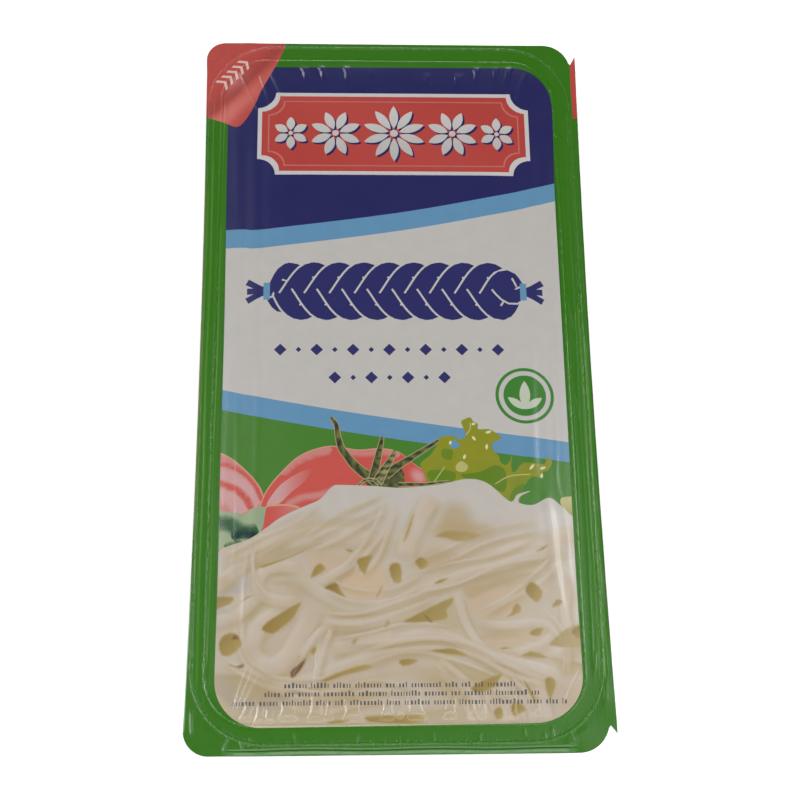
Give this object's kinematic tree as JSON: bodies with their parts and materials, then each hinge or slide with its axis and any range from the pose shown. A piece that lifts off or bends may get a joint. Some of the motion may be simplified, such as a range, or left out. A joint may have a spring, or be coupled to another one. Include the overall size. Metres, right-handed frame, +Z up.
{
  "type": "string cheese tray pack",
  "caption": "Sealed shallow plastic tray of string cheese with a wide flange and a printed, crowned lidding film, lying flat with the print up.",
  "frame": {"origin": "on the flat base, under the middle of the pack's outline", "axes": "+Z up, +Y towards the top of the print along the pack, +X to the print's right"},
  "size_m": [0.1099, 0.208, 0.0226],
  "materials": {
    "tray_plastic": "milky formed sheet, satin",
    "printed_film": "printed lidding film, glossy with fine creases"
  },
  "bodies": {
    "root": {"tray": "tray_plastic", "lid_film": "printed_film"}
  },
  "joints": []
}
